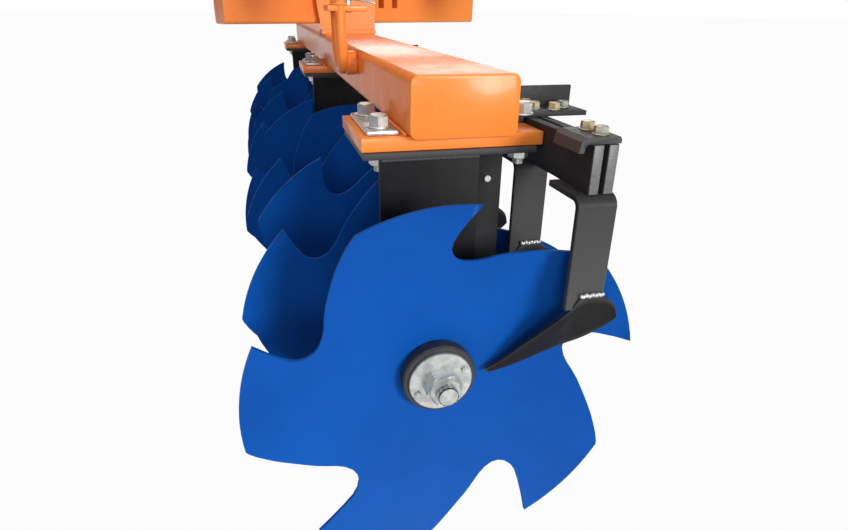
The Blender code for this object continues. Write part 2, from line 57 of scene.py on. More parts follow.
# ---- sizes, in metres, in a gang's own frame: x trailing, y along the axle, z up from the beam ----
GANG_ANGLE = math.radians(20.0)
PIVOT_Y = 1.335
BEAM_Z = 0.7266
BEAM_W = 0.177
BEAM_H = 0.0965
BEAM_L = 2.536
AXLE_X = -0.049
AXLE_Z = -0.3966
PITCH = 0.2282
FIRST_HUB = -0.0406
COUNT = 12
DISC_R = 0.330
DISC_T = 0.006
SPHERE = 0.707
SEAT = 0.058
NOTCH = 0.679
PLATE_Y = [0.127 + PITCH * 5 * k for k in range(3)]
PLATE_T = 0.020
PLATE_TOP = 0.002
RAIL_TOP = 0.012
RAIL_BOTTOM = -0.062
RAIL_X0 = 0.147
RAIL_X1 = 0.188
ARM_Y = -0.1415
ARM_X0 = 0.129
ARM_X1 = 0.193
INDEXES = [7.0, 26.2, 46.0, 30.0, 12.0, 55.0, 22.0, 40.0, 64.0, 15.0, 33.0, 50.0]

JOINTS = {j["name"]: j for j in frame["record"]["behaviour"]["joints"]}


def placing(side):
    """Matrix from a gang's own frame to the machine's."""
    x, y, _ = JOINTS[side + "_gang_angle"]["pos_m"]
    c = math.cos(GANG_ANGLE)
    s = math.sin(GANG_ANGLE)
    hand = -1.0 if side == "front" else 1.0
    turn = Matrix(((-c, -s, 0, 0), (hand * s, -hand * c, 0, 0), (0, 0, 1, 0), (0, 0, 0, 1)))
    return Matrix.Translation((x, y, BEAM_Z)) @ turn @ Matrix.Translation((0, -PIVOT_Y, 0))


# ---- materials ----------------------------------------------------------------------------------
def new_material(name):
    """An empty node material with its Principled shader and shared coordinates."""
    mat = bpy.data.materials.new(name)
    mat.use_nodes = True
    tree = mat.node_tree
    bsdf = tree.nodes["Principled BSDF"]
    coord = tree.nodes.new("ShaderNodeTexCoord")
    return mat, tree, bsdf, coord.outputs["Object"]


def noise(tree, coord, scale, detail=4.0, rough=0.55, stretch=None):
    """A noise value at a scale, stretched along an axis if asked."""
    if stretch:
        mapping = tree.nodes.new("ShaderNodeMapping")
        mapping.inputs["Scale"].default_value = stretch
        tree.links.new(coord, mapping.inputs["Vector"])
        coord = mapping.outputs["Vector"]
    node = tree.nodes.new("ShaderNodeTexNoise")
    node.inputs["Scale"].default_value = scale
    node.inputs["Detail"].default_value = detail
    node.inputs["Roughness"].default_value = rough
    tree.links.new(coord, node.inputs["Vector"])
    return node.outputs["Fac"]


def ramp(tree, value, stops):
    """A colour ramp over a value."""
    node = tree.nodes.new("ShaderNodeValToRGB")
    elements = node.color_ramp.elements
    while len(elements) < len(stops):
        elements.new(0.5)
    for element, (place, colour) in zip(elements, stops):
        element.position = place
        element.color = (*colour, 1.0)
    tree.links.new(value, node.inputs["Fac"])
    return node.outputs["Color"]


def mix(tree, value, a, b, kind="MIX"):
    """Mix two colours or sockets by a value."""
    node = tree.nodes.new("ShaderNodeMix")
    node.data_type = "RGBA"
    node.blend_type = kind
    for socket, item in ((node.inputs[6], a), (node.inputs[7], b)):
        if isinstance(item, tuple):
            socket.default_value = (*item, 1.0)
        else:
            tree.links.new(item, socket)
    if isinstance(value, float):
        node.inputs[0].default_value = value
    else:
        tree.links.new(value, node.inputs[0])
    return node.outputs[2]


def bump(tree, bsdf, value, strength, distance, under=None):
    """Bump from a height value, over another bump if there is one."""
    node = tree.nodes.new("ShaderNodeBump")
    node.inputs["Strength"].default_value = strength
    node.inputs["Distance"].default_value = distance
    tree.links.new(value, node.inputs["Height"])
    if under is not None:
        tree.links.new(under, node.inputs["Normal"])
    tree.links.new(node.outputs["Normal"], bsdf.inputs["Normal"])
    return node.outputs["Normal"]


def rough_ramp(tree, bsdf, value, low, high):
    """Roughness that wanders between two values."""
    node = tree.nodes.new("ShaderNodeMapRange")
    node.inputs["From Min"].default_value = 0.3
    node.inputs["From Max"].default_value = 0.7
    node.inputs["To Min"].default_value = low
    node.inputs["To Max"].default_value = high
    tree.links.new(value, node.inputs["Value"])
    tree.links.new(node.outputs["Result"], bsdf.inputs["Roughness"])


def edge_highlight_and_wear_mask(tree, low, high):
    """Where the surface is convex: a painted highlight along the orange paint's edges, and rubbed edges on the dark
    steel.
    """
    geo = tree.nodes.new("ShaderNodeNewGeometry")
    node = tree.nodes.new("ShaderNodeMapRange")
    node.inputs["From Min"].default_value = low
    node.inputs["From Max"].default_value = high
    tree.links.new(geo.outputs["Pointiness"], node.inputs["Value"])
    return node.outputs["Result"]


def orange_paint():
    """Glossy orange machine paint with orange peel, faint dust, and a painted highlight of lighter orange along the
    edges.
    """
    mat, tree, bsdf, coord = new_material("orange_machine_paint")
    broad = noise(tree, coord, 3.0)
    tone = ramp(tree, broad, [(0.35, (0.86, 0.205, 0.022)), (0.65, (0.93, 0.240, 0.032))])
    dust = noise(tree, coord, 22.0, 4.0, 0.6)
    dust_colour = ramp(tree, dust, [(0.56, (0.0, 0.0, 0.0)), (0.80, (0.16, 0.16, 0.16))])
    base = mix(tree, dust_colour, tone, (0.93, 0.36, 0.12))
    # painted highlight: convex edges of the paint turn a lighter orange
    edge = edge_highlight_and_wear_mask(tree, 0.53, 0.62)
    base = mix(tree, edge, base, (0.95, 0.30, 0.07))
    tree.links.new(base, bsdf.inputs["Base Color"])
    rough_ramp(tree, bsdf, dust, 0.24, 0.40)
    first = bump(tree, bsdf, noise(tree, coord, 260.0, 1.0), 0.05, 0.0004)
    bump(tree, bsdf, noise(tree, coord, 9.0, 2.0), 0.10, 0.003, first)
    bsdf.inputs["Specular IOR Level"].default_value = 0.22
    bsdf.inputs["Coat Weight"].default_value = 0.14
    bsdf.inputs["Coat Roughness"].default_value = 0.12
    return mat


def blue_paint():
    """Satin blue disc paint with faint dust specks."""
    mat, tree, bsdf, coord = new_material("blue_disc_paint")
    broad = noise(tree, coord, 5.0, 5.0)
    tone = ramp(tree, broad, [(0.30, (0.0010, 0.066, 0.330)), (0.70, (0.0014, 0.086, 0.405))])
    speck = noise(tree, coord, 60.0, 8.0, 0.75)
    speck_mask = ramp(tree, speck, [(0.62, (0.0, 0.0, 0.0)), (0.78, (0.28, 0.28, 0.28))])
    base = mix(tree, speck_mask, tone, (0.004, 0.105, 0.43))
    tree.links.new(base, bsdf.inputs["Base Color"])
    bsdf.inputs["Specular IOR Level"].default_value = 0.12
    rough_ramp(tree, bsdf, speck, 0.42, 0.60)
    first = bump(tree, bsdf, noise(tree, coord, 300.0, 2.0), 0.08, 0.0006)
    bump(tree, bsdf, noise(tree, coord, 18.0, 3.0), 0.10, 0.004, first)
    return mat


def dark_steel():
    """Blackened hot-rolled steel: mill scale streaks, grey rubbed patches and edges."""
    mat, tree, bsdf, coord = new_material("dark_rolled_steel")
    streak = noise(tree, coord, 9.0, 6.0, 0.6, (1.0, 1.0, 0.25))
    tone = ramp(tree, streak, [(0.32, (0.005, 0.005, 0.006)), (0.55, (0.010, 0.010, 0.011)),
                               (0.75, (0.022, 0.022, 0.025))])
    fine = noise(tree, coord, 90.0, 8.0, 0.7)
    rub = ramp(tree, fine, [(0.60, (0.0, 0.0, 0.0)), (0.75, (0.30, 0.30, 0.30))])
    base = mix(tree, rub, tone, (0.036, 0.035, 0.033))
    edge = edge_highlight_and_wear_mask(tree, 0.53, 0.63)
    base = mix(tree, edge, base, (0.07, 0.07, 0.07))
    tree.links.new(base, bsdf.inputs["Base Color"])
    bsdf.inputs["Metallic"].default_value = 0.10
    bsdf.inputs["Specular IOR Level"].default_value = 0.14
    rough_ramp(tree, bsdf, fine, 0.38, 0.58)
    bump(tree, bsdf, fine, 0.16, 0.0015)
    return mat


def zinc():
    """Zinc plate: pale grey spangle in random patches."""
    mat, tree, bsdf, coord = new_material("zinc_plate")
    patch = noise(tree, coord, 70.0, 5.0)
    base = ramp(tree, patch, [(0.35, (0.44, 0.46, 0.45)), (0.65, (0.64, 0.66, 0.63))])
    tree.links.new(base, bsdf.inputs["Base Color"])
    bsdf.inputs["Metallic"].default_value = 0.75
    rough_ramp(tree, bsdf, patch, 0.28, 0.46)
    bump(tree, bsdf, noise(tree, coord, 260.0, 3.0), 0.10, 0.0008)
    return mat


def yellow_zinc():
    """Yellow passivated bolts with an uneven tint."""
    mat, tree, bsdf, coord = new_material("yellow_zinc_plate")
    patch = noise(tree, coord, 45.0, 4.0)
    base = ramp(tree, patch, [(0.35, (0.50, 0.50, 0.46)), (0.65, (0.62, 0.52, 0.28))])
    tree.links.new(base, bsdf.inputs["Base Color"])
    bsdf.inputs["Metallic"].default_value = 0.8
    rough_ramp(tree, bsdf, patch, 0.25, 0.42)
    bump(tree, bsdf, noise(tree, coord, 240.0, 3.0), 0.10, 0.0008)
    return mat


def rubber_black():
    """Matte black for the thick end washer and plugs."""
    mat, tree, bsdf, coord = new_material("matte_black")
    patch = noise(tree, coord, 30.0, 6.0)
    base = ramp(tree, patch, [(0.35, (0.020, 0.020, 0.021)), (0.70, (0.045, 0.045, 0.045))])
    tree.links.new(base, bsdf.inputs["Base Color"])
    rough_ramp(tree, bsdf, patch, 0.50, 0.70)
    bump(tree, bsdf, noise(tree, coord, 180.0, 4.0), 0.15, 0.001)
    return mat


def cut_steel():
    """Grey saw-cut steel with fine lines."""
    mat, tree, bsdf, coord = new_material("saw_cut_steel")
    lines = noise(tree, coord, 120.0, 3.0, 0.6, (1.0, 1.0, 6.0))
    base = ramp(tree, lines, [(0.35, (0.10, 0.10, 0.105)), (0.65, (0.17, 0.17, 0.165))])
    tree.links.new(base, bsdf.inputs["Base Color"])
    bsdf.inputs["Metallic"].default_value = 0.3
    rough_ramp(tree, bsdf, lines, 0.40, 0.60)
    bump(tree, bsdf, lines, 0.15, 0.0008)
    return mat


MATS = {"orange": orange_paint(), "blue": blue_paint(), "dark": dark_steel(), "zinc": zinc(),
        "yellow": yellow_zinc(), "black": rubber_black(), "cut": cut_steel()}


# ---- mesh helpers -------------------------------------------------------------------------------
def put(bm, name, look, body, where=None, mirrored=False):
    """Make a riding piece from a bmesh."""
    bmesh.ops.recalc_face_normals(bm, faces=bm.faces)
    mesh = bpy.data.meshes.new(name)
    bm.to_mesh(mesh)
    bm.free()
    if where is not None:
        mesh.transform(where)
        if mirrored:
            mesh.flip_normals()
    mesh.materials.append(MATS[look])
    obj = bpy.data.objects.new(name, mesh)
    bpy.context.scene.collection.objects.link(obj)
    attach(obj, body)
    return obj


def smooth(obj, degrees=35):
    """Smooth shading with sharp edges kept."""
    mesh = obj.data
    mesh.shade_smooth()
    mesh.set_sharp_from_angle(angle=math.radians(degrees))


def bake(obj):
    """Bake the modifiers of a piece into its mesh."""
    dep = bpy.context.evaluated_depsgraph_get()
    dep.update()
    mesh = bpy.data.meshes.new_from_object(obj.evaluated_get(dep))
    obj.modifiers.clear()
    obj.data = mesh


def add_block(bm, lo, hi, chamfer=0.0):
    """A block between two corners with chamfered edges."""
    made = bmesh.ops.create_cube(bm, size=1.0)["verts"]
    for v in made:
        for i in range(3):
            v.co[i] = lo[i] if v.co[i] < 0 else hi[i]
    if chamfer:
        edges = list({e for v in made for e in v.link_edges})
        bmesh.ops.bevel(bm, geom=edges, offset=chamfer, segments=2, affect="EDGES", profile=0.5)


def add_round(bm, start, end, radius, segments=32, chamfer=0.0, turn=0.0):
    """A round or many-sided bar between two points with chamfered ends."""
    p = Vector(start)
    q = Vector(end)
    basis = (q - p).to_track_quat("Z", "Y").to_matrix().to_4x4()
    where = Matrix.Translation(p) @ basis @ Matrix.Rotation(turn, 4, "Z")
    length = (q - p).length
    rings = [(radius - chamfer, 0.0), (radius, chamfer), (radius, length - chamfer),
             (radius - chamfer, length)] if chamfer else [(radius, 0.0), (radius, length)]
    loops = []
    for r, z in rings:
        loop = []
        for i in range(segments):
            a = 2 * math.pi * i / segments
            loop.append(bm.verts.new(where @ Vector((r * math.cos(a), r * math.sin(a), z))))
        loops.append(loop)
    for low, high in zip(loops[:-1], loops[1:]):
        for i in range(segments):
            j = (i + 1) % segments
            bm.faces.new((low[i], low[j], high[j], high[i]))
    bm.faces.new(loops[0][::-1])
    bm.faces.new(loops[-1])


def add_hex(bm, base, axis, across, height, turn=0.3):
    """A hexagon head or nut with its corners turned down."""
    p = Vector(base)
    d = Vector(axis).normalized()
    r = across / math.sqrt(3.0)
    add_round(bm, p, p + d * height * 0.86, r, 6, 0.0, turn)
    add_round(bm, p + d * height * 0.80, p + d * height, across * 0.50, 32, across * 0.07)


def add_bolt(bm, base, axis, across, shank=0.0):
    """Washer, head, and a thread end standing out past a nut if asked."""
    p = Vector(base)
    d = Vector(axis).normalized()
    add_round(bm, p, p + d * across * 0.10, across * 0.66, 28, 0.0006)
    add_hex(bm, p + d * across * 0.10, d, across, across * 0.58)
    if shank:
        add_thread(bm, p + d * across * 0.6, d, across * 0.31, shank)


def add_thread(bm, base, axis, radius, length, pitch=0.003):
    """A threaded end: rings of ridges with a chamfered tip."""
    p = Vector(base)
    d = Vector(axis).normalized()
    add_round(bm, p, p + d * length, radius * 0.95, 32, radius * 0.10)
    steps = max(2, int((length - radius * 0.12) / pitch))
    for i in range(steps):
        a = p + d * (i * pitch)
        add_round(bm, a, a + d * pitch * 0.62, radius, 24, pitch * 0.28)


def bead(path, radius, name, look, body, where=None, mirrored=False, closed=False):
    """A weld bead: a rippled round run along a path."""
    bm = bmesh.new()
    pts = [Vector(p) for p in path]
    if closed:
        pts.append(pts[0])
    count = 0
    for a, b in zip(pts[:-1], pts[1:]):
        run = (b - a).length
        steps = max(1, int(run / (radius * 0.9)))
        for i in range(steps):
            c = a.lerp(b, (i + 0.5) / steps)
            wobble = 1.0 + 0.12 * math.sin(count * 2.3)
            size = Matrix.Diagonal((radius * wobble, radius * wobble, radius * wobble * 0.85, 1))
            bmesh.ops.create_icosphere(bm, subdivisions=1, radius=1.0,
                                       matrix=Matrix.Translation(c) @ size)
            count += 1
    obj = put(bm, name, look, body, where, mirrored)
    smooth(obj, 80)
    return obj


def sweep(path, radius, name, look, body, where=None, mirrored=False, cyclic=False):
    """A round wire or bar along smooth points."""
    curve = bpy.data.curves.new(name, "CURVE")
    curve.dimensions = "3D"
    curve.bevel_depth = radius
    curve.bevel_resolution = 4
    curve.use_fill_caps = True
    curve.resolution_u = 8
    spline = curve.splines.new("NURBS")
    spline.points.add(len(path) - 1)
    for point, p in zip(spline.points, path):
        point.co = (*p, 1.0)
    spline.use_endpoint_u = True
    spline.order_u = 3
    spline.use_cyclic_u = cyclic
    tmp = bpy.data.objects.new("tmp", curve)
    bpy.context.scene.collection.objects.link(tmp)
    dep = bpy.context.evaluated_depsgraph_get()
    dep.update()
    mesh = bpy.data.meshes.new_from_object(tmp.evaluated_get(dep))
    bpy.data.objects.remove(tmp, do_unlink=True)
    bm = bmesh.new()
    bm.from_mesh(mesh)
    bpy.data.meshes.remove(mesh)
    obj = put(bm, name, look, body, where, mirrored)
    smooth(obj, 60)
    return obj


def dish(r):
    """How far the dish has come forward at radius r."""
    if r <= SEAT:
        return 0.0
    return math.sqrt(SPHERE ** 2 - SEAT ** 2) - math.sqrt(SPHERE ** 2 - r * r)


# ---- discs --------------------------------------------------------------------------------------
def notch_polar():
    """The hooked notch: sharp tip, steep side, round bottom, long gently bowed heel."""
    keys = [(0.0, 1.0), (-1.9, 0.930), (-3.9, 0.855), (-5.3, 0.795), (-5.4, 0.752), (-4.2, 0.715),
            (-1.9, 0.690), (1.4, 0.680), (5.5, 0.687), (9.2, 0.706), (13.1, 0.738),
            (17.0, 0.772), (20.6, 0.803), (24.0, 0.836), (27.0, 0.868), (30.0, 0.902),
            (33.0, 0.936), (35.6, 0.966), (38.0, 0.992), (39.6, 1.004)]
    pts = [(-2.4, 1.30)] + keys + [(43.0, 1.30)]
    return [(math.radians(a), DISC_R * r) for a, r in pts]


def disc_master():
    """One fine disc centred on its seat, in the gang's axes."""
    steps = 120
    radii = [0.0235, 0.040, SEAT, 0.075, 0.105, 0.140, 0.175, 0.210, 0.245, 0.280, 0.308, DISC_R]
    loop = [(r, -dish(r)) for r in radii] + [(r, -dish(r) + DISC_T) for r in radii[::-1]]
    bm = bmesh.new()
    grid = []
    for i in range(steps):
        a = 2 * math.pi * i / steps
        grid.append([bm.verts.new((r * math.sin(a), y, r * math.cos(a))) for r, y in loop])
    for i in range(steps):
        here = grid[i]
        there = grid[(i + 1) % steps]
        for j in range(len(loop)):
            k = (j + 1) % len(loop)
            bm.faces.new((here[j], there[j], there[k], here[k]))
    bmesh.ops.recalc_face_normals(bm, faces=bm.faces)
    mesh = bpy.data.meshes.new("disc_master")
    bm.to_mesh(mesh)
    bm.free()
    obj = bpy.data.objects.new("disc_master", mesh)
    bpy.context.scene.collection.objects.link(obj)
    cutter = bmesh.new()
    for j in range(5):
        turn = 2 * math.pi * j / 5
        ring = [(r * math.sin(a + turn), r * math.cos(a + turn)) for a, r in notch_polar()]
        low = [cutter.verts.new((x, -0.25, z)) for x, z in ring]
        high = [cutter.verts.new((x, 0.15, z)) for x, z in ring]
        cutter.faces.new(low)
        cutter.faces.new(high[::-1])
        for i in range(len(ring)):
            k = (i + 1) % len(ring)
            cutter.faces.new((low[k], low[i], high[i], high[k]))
    bmesh.ops.recalc_face_normals(cutter, faces=cutter.faces)
    cut_mesh = bpy.data.meshes.new("notch_cutter")
    cutter.to_mesh(cut_mesh)
    cutter.free()
    cut_obj = bpy.data.objects.new("notch_cutter", cut_mesh)
    bpy.context.scene.collection.objects.link(cut_obj)
    mod = obj.modifiers.new("notches", "BOOLEAN")
    mod.operation = "DIFFERENCE"
    mod.solver = "EXACT"
    mod.object = cut_obj
    bake(obj)
    bpy.data.objects.remove(cut_obj, do_unlink=True)
    mod = obj.modifiers.new("edge", "BEVEL")
    mod.width = 0.0009
    mod.segments = 2
    mod.limit_method = "ANGLE"
    mod.angle_limit = math.radians(50)
    bake(obj)
    obj.data.shade_smooth()
    obj.data.set_sharp_from_angle(angle=math.radians(38))
    obj.data.materials.clear()
    obj.data.materials.append(MATS["blue"])
    master = obj.data
    bpy.data.objects.remove(obj, do_unlink=True)
    return master


def discs(side, where, mirrored, master):
    """All the discs on a gang."""
    for k in range(COUNT):
        name = side + "_disc_" + str(k + 1).zfill(2)
        mesh = master.copy()
        spin = Matrix.Rotation(math.radians(INDEXES[k]), 4, "Y")
        mesh.transform(where @ Matrix.Translation((AXLE_X, FIRST_HUB + PITCH * k, AXLE_Z)) @ spin)
        if mirrored:
            mesh.flip_normals()
        obj = bpy.data.objects.new(name + "_blade", mesh)
        bpy.context.scene.collection.objects.link(obj)
        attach(obj, side + "_axle")
        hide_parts(name)


# ---- axle ends ----------------------------------------------------------------------------------
def axle_ends(side, where, mirrored):
    """Thick washer, plated washer with screws, hex nut and threaded end."""
    body = side + "_axle"
    y0 = FIRST_HUB - 0.0003
    c = Vector((AXLE_X, 0, AXLE_Z))
    out = Vector((0, -1, 0))

    def at(d):
        """A point on the axle, this far out from the first disc's seat."""
        return c + Vector((0, y0 - d, 0))

    bm = bmesh.new()
    add_round(bm, at(0.0010), at(0.0262), 0.0650, 64, 0.0030)
    smooth(put(bm, side + "_end_collar", "black", body, where, mirrored), 30)
    bm = bmesh.new()
    add_round(bm, at(0.0262), at(0.0334), 0.0556, 64, 0.0012)
    for angle in (65, 245):
        a = math.radians(angle)
        p = at(0.0334) + Vector((0.0455 * math.sin(a), 0, 0.0455 * math.cos(a)))
        add_round(bm, p, p + out * 0.0045, 0.0062, 24, 0.0012)
        add_round(bm, p + out * 0.0045, p + out * 0.0052, 0.0032, 6)
    smooth(put(bm, side + "_end_washer", "zinc", body, where, mirrored), 30)
    bm = bmesh.new()
    add_hex(bm, at(0.0334), out, 0.0565, 0.032, 0.12)
    smooth(put(bm, side + "_end_nut", "zinc", body, where, mirrored), 30)
    bm = bmesh.new()
    add_thread(bm, at(0.0640), out, 0.0178, 0.0152, 0.0030)
    smooth(put(bm, side + "_end_thread", "zinc", body, where, mirrored), 30)


# ---- hanger plates, bolts and seams -------------------------------------------------------------
def hanger_fittings(side, where, mirrored):
    """Bolts through each hanger plate, their oblong washers, the nuts below and the weld seams."""
    body = side + "_gang"
    bolts = bmesh.new()
    washers = bmesh.new()
    below = bmesh.new()
    for y in PLATE_Y:
        for x in (-0.124, 0.121):
            for dy in (-0.062, 0.052):
                top = PLATE_TOP + (0.009 if x < 0 else 0.022)
                add_bolt(bolts, (x, y + dy, top), (0, 0, 1), 0.030)
                low = -PLATE_T - 0.0106
                add_bolt(below, (x, y + dy, low), (0, 0, -1), 0.030, 0.012)
        add_block(washers, (-0.149, y - 0.093, PLATE_TOP + 0.0002), (-0.097, y + 0.082, PLATE_TOP + 0.0088),
                  0.0035)
    smooth(put(bolts, side + "_plate_bolts", "zinc", body, where, mirrored), 30)
    smooth(put(washers, side + "_bolt_washers", "zinc", body, where, mirrored), 30)
    smooth(put(below, side + "_plate_nuts", "zinc", body, where, mirrored), 30)
    for k, y in enumerate(PLATE_Y):
        half = BEAM_W / 2 + 0.001
        for s, tag in ((-1, "a"), (1, "b")):
            bead([(s * half, y - 0.100, 0.0045), (s * half, y + 0.100, 0.0045)], 0.0040,
                 side + "_plate_seam_" + tag + str(k + 1), "orange", body, where, mirrored)


# ---- scraper fittings ---------------------------------------------------------------------------
def scraper_fittings(side, where, mirrored):
    """Saddle caps over the twin bars, their bolts, and the bolts of the angle brackets."""
    body = side + "_gang"
    caps = bmesh.new()
    bolts = bmesh.new()
    seams = bmesh.new()
    for k in range(COUNT):
        y = ARM_Y + PITCH * k + 0.012
        z = RAIL_TOP + 0.0004
        outline = [(RAIL_X0 - 0.022, z - 0.012), (RAIL_X0 - 0.019, z + 0.004), (RAIL_X0 - 0.010, z + 0.010),
                   (RAIL_X1 + 0.0, z + 0.010), (RAIL_X1 + 0.003, z + 0.006), (RAIL_X1 + 0.003, z),
                   (RAIL_X0 - 0.008, z), (RAIL_X0 - 0.012, z - 0.004), (RAIL_X0 - 0.014, z - 0.012)]
        near = [caps.verts.new((x, y, h)) for x, h in outline]
        far = [caps.verts.new((x, y + 0.080, h)) for x, h in outline]
        caps.faces.new(near)
        caps.faces.new(far[::-1])
        for i in range(len(outline)):
            j = (i + 1) % len(outline)
            caps.faces.new((near[j], near[i], far[i], far[j]))
        for dx, dy in ((0.000, 0.020), (0.000, 0.058)):
            add_bolt(bolts, ((RAIL_X0 + RAIL_X1) / 2 + dx, y + dy, z + 0.010), (0, 0, 1), 0.019)
            add_bolt(bolts, ((RAIL_X0 + RAIL_X1) / 2 + dx, y + dy, RAIL_BOTTOM - 0.0095), (0, 0, -1),
                     0.019, 0.008)
        for i in range(14):
            c = Vector((0.152 + i * 0.0028, ARM_Y + PITCH * k - 0.0040, -0.2205 - 0.0010 * math.sin(i * 1.7)))
            bmesh.ops.create_icosphere(seams, subdivisions=2, radius=0.0036 + 0.0006 * math.sin(i * 2.9),
                                       matrix=Matrix.Translation(c))
    smooth(put(caps, side + "_saddle_caps", "dark", body, where, mirrored), 30)
    smooth(put(bolts, side + "_scraper_bolts", "yellow", body, where, mirrored), 30)
    smooth(put(seams, side + "_blade_seams", "zinc", body, where, mirrored), 60)
    ends = bmesh.new()
    for x in (0.147, 0.171):
        add_block(ends, (x + 0.0012, -0.1316, RAIL_BOTTOM + 0.0012), (x + 0.0158, -0.1308, RAIL_TOP - 0.0012), 0.0003)
    smooth(put(ends, side + "_bar_cut_ends", "cut", body, where, mirrored), 30)
    angle_bolts = bmesh.new()
    for y in PLATE_Y:
        add_bolt(angle_bolts, (0.232, y + 0.008, RAIL_TOP + 0.0085), (0, 0, 1), 0.019)
        add_bolt(angle_bolts, (0.205, y - 0.012, RAIL_TOP + 0.0085), (0, 0, 1), 0.019)
    smooth(put(angle_bolts, side + "_angle_bolts", "yellow", body, where, mirrored), 30)


def along(points, t):
    """A smooth value between key points: Catmull-Rom at t in 0..1."""
    n = len(points) - 1
    u = min(max(t, 0.0), 1.0) * n
    i = min(int(u), n - 1)
    f = u - i
    a, b, c, d = (points[max(i - 1, 0)], points[i], points[i + 1], points[min(i + 2, n)])
    return tuple(0.5 * (2 * q + (r - p) * f + (2 * p - 5 * q + 4 * r - s) * f * f
                        + (3 * q - p - 3 * r + s) * f ** 3)
                 for p, q, r, s in zip(a, b, c, d))


def leaf_blade(bm, off):
    """The scraper's leaf: round broad end on the arm, hollowed face, tapering along the disc."""
    upper = [(0.2190, -0.2640, 1.0), (0.2150, -0.2470, 1.0), (0.2050, -0.2345, 1.0),
             (0.1880, -0.2245, 1.0), (0.1660, -0.2215, 1.0), (0.1500, -0.2260, 1.0),
             (0.1360, -0.2520, 0.85), (0.1200, -0.2820, 0.60), (0.0920, -0.3270, 0.30),
             (0.0640, -0.3680, 0.10), (0.0360, -0.3940, 0.0)]
    lower = [(0.2190, -0.2665, 1.0), (0.2120, -0.2770, 0.85), (0.2010, -0.2890, 0.72),
             (0.1880, -0.3010, 0.60), (0.1740, -0.3150, 0.45), (0.1600, -0.3280, 0.30),
             (0.1430, -0.3430, 0.18), (0.1230, -0.3600, 0.08), (0.1000, -0.3770, 0.02),
             (0.0740, -0.3900, 0.0), (0.0390, -0.4010, 0.0)]
    steps = 44
    across = 6
    front = []
    back = []
    for i in range(steps + 1):
        t = i / steps
        xu, zu, wu = along(upper, t)
        xl, zl, wl = along(lower, t)
        row_f = []
        row_b = []
        for j in range(across + 1):
            v = j / across
            x = xu + (xl - xu) * v
            z = zu + (zl - zu) * v
            w = min(max(wu + (wl - wu) * v, 0.0), 1.0)
            r = min(math.hypot(x - AXLE_X, z - AXLE_Z), DISC_R)
            near = FIRST_HUB - dish(r) - 0.010
            y = min(near, w * (ARM_Y + 0.002) + (1 - w) * near) + off
            edge = 0.0012 if j in (0, across) or i in (0, steps) else 0.0
            row_b.append(bm.verts.new((x, y - edge, z)))
            row_f.append(bm.verts.new((x, y - 0.008 + edge, z)))
        front.append(row_f)
        back.append(row_b)
    for i in range(steps):
        for j in range(across):
            bm.faces.new((front[i][j], front[i][j + 1], front[i + 1][j + 1], front[i + 1][j]))
            bm.faces.new((back[i][j], back[i + 1][j], back[i + 1][j + 1], back[i][j + 1]))
        for j in (0, across):
            bm.faces.new((front[i][j], front[i + 1][j], back[i + 1][j], back[i][j]))
    for i in (0, steps):
        for j in range(across):
            bm.faces.new((front[i][j], back[i][j], back[i][j + 1], front[i][j + 1]))


def scraper_arm(bm, off):
    """A flat arm bent round under the bars, its straight lower end going down behind the leaf."""
    ya = ARM_Y + off
    zf = RAIL_BOTTOM + 0.001
    bend = 0.020
    thick = 0.010
    outer = [(ya, -0.245)]
    inner = [(ya + thick, -0.245)]
    for i in range(11):
        t = math.pi / 2 * i / 10
        outer.append((ya + bend - bend * math.cos(t), zf - bend + bend * math.sin(t)))
        inner.append((ya + bend - (bend - thick) * math.cos(t), zf - bend + (bend - thick) * math.sin(t)))
    outer.append((ya + 0.098, zf))
    inner.append((ya + 0.098, zf - thick))
    loops = []
    for x, edge in ((ARM_X0, 0.0012), (ARM_X0 + 0.0012, 0.0), (ARM_X1 - 0.0012, 0.0), (ARM_X1, 0.0012)):
        ring = []
        for (yo, zo), (yi, zi) in zip(outer, inner):
            ring.append(((yo + (yi - yo) * edge / thick, zo + (zi - zo) * edge / thick),
                         (yi + (yo - yi) * edge / thick, zi + (zo - zi) * edge / thick)))
        loops.append([bm.verts.new((x, y, z)) for (y, z), _ in ring]
                     + [bm.verts.new((x, y, z)) for _, (y, z) in ring[::-1]])
    for a, b in zip(loops[:-1], loops[1:]):
        for i in range(len(a)):
            j = (i + 1) % len(a)
            bm.faces.new((a[i], a[j], b[j], b[i]))
    half = len(loops[0])
    for loop in (loops[0], loops[-1]):
        for i in range(half // 2 - 1):
            bm.faces.new((loop[i], loop[i + 1], loop[half - 2 - i], loop[half - 1 - i]))


def scraper_set(side, where, mirrored):
    """Twin bars, angle brackets, arms and leaf blades, drawn fine over the plain ones."""
    bm = bmesh.new()
    rail_h = RAIL_TOP - RAIL_BOTTOM
    for x in (0.147, 0.171):
        add_block(bm, (x, -0.131, RAIL_BOTTOM), (x + 0.017, BEAM_L + 0.020, RAIL_BOTTOM + rail_h), 0.0018)
    for y in PLATE_Y:
        y0 = y - 0.030
        add_block(bm, (BEAM_W / 2 + 0.006, y0, RAIL_TOP - 0.0005), (0.262, y0 + 0.075, RAIL_TOP + 0.008), 0.0012)
        add_block(bm, (BEAM_W / 2 + 0.006, y0 + 0.067, RAIL_TOP), (0.262, y0 + 0.075, RAIL_TOP + 0.044), 0.0012)
        add_block(bm, (BEAM_W / 2 + 0.006, y0, PLATE_TOP + 0.0004), (0.141, y0 + 0.070, RAIL_TOP + 0.002), 0.0012)
    for k in range(COUNT):
        scraper_arm(bm, PITCH * k)
        leaf_blade(bm, PITCH * k)
    obj = put(bm, side + "_scraper_bars_and_blades", "dark", side + "_gang", where, mirrored)
    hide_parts(side + "_scraper_set")
    smooth(obj, 38)


